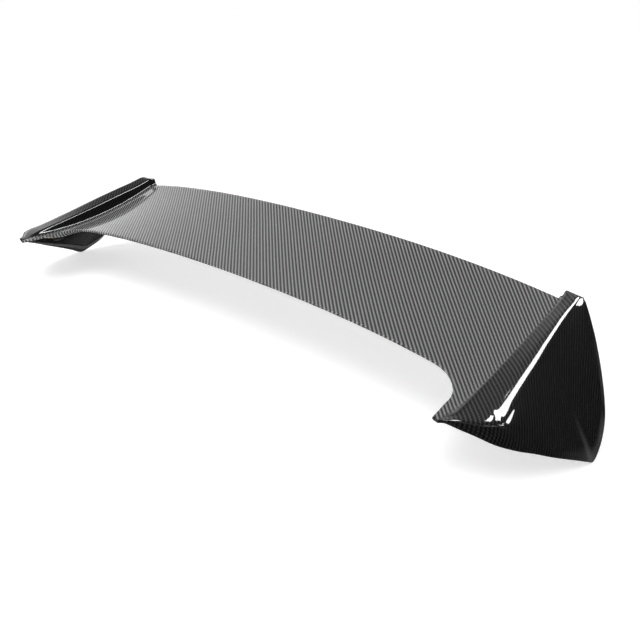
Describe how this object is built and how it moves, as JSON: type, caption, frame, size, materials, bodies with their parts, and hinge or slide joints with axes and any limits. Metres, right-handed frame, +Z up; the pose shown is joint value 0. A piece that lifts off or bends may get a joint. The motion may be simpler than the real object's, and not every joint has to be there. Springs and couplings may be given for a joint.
{
  "type": "rear wing",
  "caption": "Arched hatchback rear wing in clear-coated carbon twill, with raised fences and swept side fins, bolted on through blind inserts in the fins' inner faces.",
  "frame": {"origin": "under the middle of the wing's outline, level with the lower rear corners of the fins, its lowest points", "axes": "+X along the span towards the right-hand fin as fitted, +Y to the rear of the car, +Z up"},
  "size_m": [1.274, 0.348, 0.2032],
  "materials": {
    "blade_carbon": "clear-coated 2x2 carbon twill",
    "fin_carbon": "clear-coated 2x2 carbon twill, seen dark",
    "foam_core": "closed-cell foam",
    "resin_filler": "resin thickened with milled carbon",
    "laminate_inner": "bare carbon laminate",
    "plate_aluminium": "sanded",
    "insert_steel": "zinc plated",
    "washer_rubber": "matt",
    "seal_foam": "closed-cell foam strip"
  },
  "bodies": {
    "root": {"upper_skin": "blade_carbon", "lower_skin": "blade_carbon", "leading_edge_filler": "resin_filler", "trailing_edge_filler": "resin_filler", "spar": "laminate_inner", "left_outer_front_core": "foam_core", "left_inner_front_core": "foam_core", "right_inner_front_core": "foam_core", "right_outer_front_core": "foam_core", "left_outer_rear_core": "foam_core", "left_inner_rear_core": "foam_core", "right_inner_rear_core": "foam_core", "right_outer_rear_core": "foam_core", "middle_rib": "laminate_inner", "left_rib": "laminate_inner", "right_rib": "laminate_inner", "left_root_rib": "laminate_inner", "right_root_rib": "laminate_inner", "left_fin_outer_skin": "fin_carbon", "right_fin_outer_skin": "fin_carbon", "left_fin_inner_skin": "fin_carbon", "right_fin_inner_skin": "fin_carbon", "left_fin_core": "foam_core", "right_fin_core": "foam_core", "left_fin_edge_filler": "resin_filler", "right_fin_edge_filler": "resin_filler", "left_tip_block": "fin_carbon", "right_tip_block": "fin_carbon", "left_end_cap": "fin_carbon", "right_end_cap": "fin_carbon", "left_front_plate": "plate_aluminium", "right_front_plate": "plate_aluminium", "left_rear_plate": "plate_aluminium", "right_rear_plate": "plate_aluminium", "left_seal_strip": "seal_foam", "right_seal_strip": "seal_foam", "threaded_inserts": "insert_steel", "sealing_washers": "washer_rubber"}
  },
  "joints": []
}
